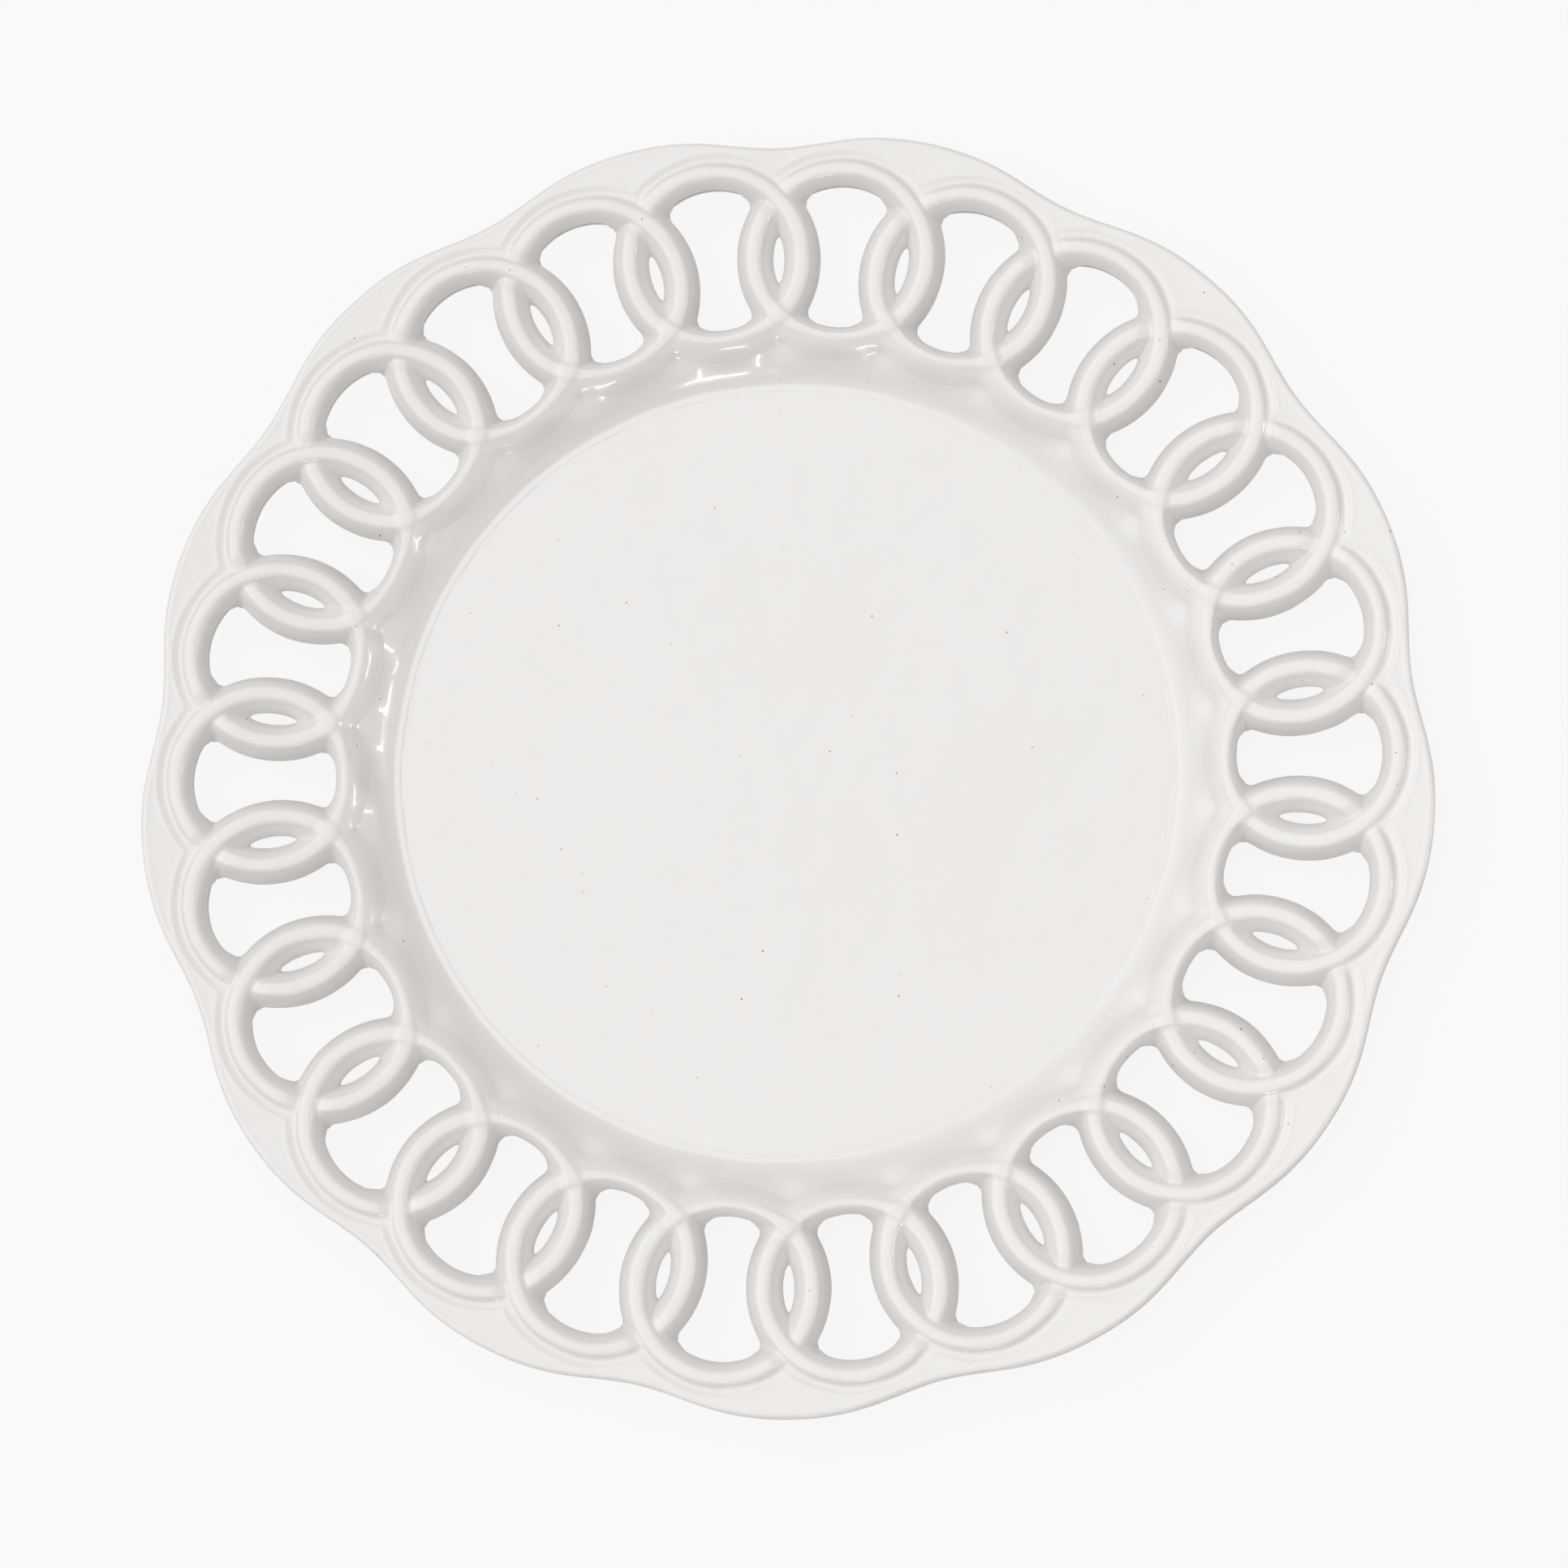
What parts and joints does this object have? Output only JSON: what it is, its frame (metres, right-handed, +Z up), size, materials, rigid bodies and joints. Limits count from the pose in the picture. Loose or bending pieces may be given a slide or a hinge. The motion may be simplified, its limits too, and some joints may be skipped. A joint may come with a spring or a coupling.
{
  "type": "openwork plate",
  "caption": "Round white glazed plate with an openwork rim of interlaced rings, a scalloped border and a foot ring, for serving or display.",
  "frame": {"origin": "middle of the plate on the surface that it stands on", "axes": "+Z up out of the well, +Y through a notch between two scallops"},
  "size_m": [0.229, 0.2281, 0.0137],
  "materials": {
    "white_glaze": "glossy clear glaze over a warm white body",
    "foot_clay": "glazed sides, foot edge wiped bare and matt"
  },
  "bodies": {
    "root": {"well_floor": "white_glaze", "cavetto_wall": "white_glaze", "foot_ring": "foot_clay", "rim_border": "white_glaze", "ring_01": "white_glaze", "ring_02": "white_glaze", "ring_03": "white_glaze", "ring_04": "white_glaze", "ring_05": "white_glaze", "ring_06": "white_glaze", "ring_07": "white_glaze", "ring_08": "white_glaze", "ring_09": "white_glaze", "ring_10": "white_glaze", "ring_11": "white_glaze", "ring_12": "white_glaze", "ring_13": "white_glaze", "ring_14": "white_glaze", "ring_15": "white_glaze", "ring_16": "white_glaze", "ring_17": "white_glaze", "ring_18": "white_glaze", "ring_19": "white_glaze", "ring_20": "white_glaze", "ring_21": "white_glaze", "ring_22": "white_glaze", "ring_23": "white_glaze", "ring_24": "white_glaze", "ring_25": "white_glaze", "ring_26": "white_glaze"}
  },
  "joints": []
}
